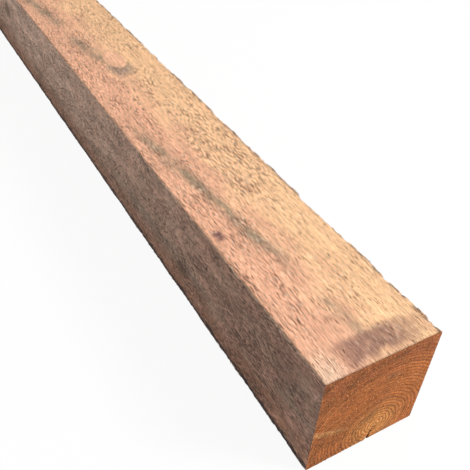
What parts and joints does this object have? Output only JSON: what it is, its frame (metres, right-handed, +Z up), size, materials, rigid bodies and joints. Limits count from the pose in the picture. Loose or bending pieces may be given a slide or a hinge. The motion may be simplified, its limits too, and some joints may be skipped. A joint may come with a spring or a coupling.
{
  "type": "timber post",
  "caption": "Rough-sawn square softwood post, cross-cut square at both ends, with a heart check and a torn arris.",
  "frame": {"origin": "middle of the underside, half way along the post", "axes": "+Y along the grain from the near end to the far end, +Z up, +X to the right seen from the near end"},
  "size_m": [0.1, 1.8, 0.1],
  "materials": {
    "sawn_timber": "rough-sawn, dry, unplaned"
  },
  "bodies": {
    "root": {"timber_post": "sawn_timber"}
  },
  "joints": []
}
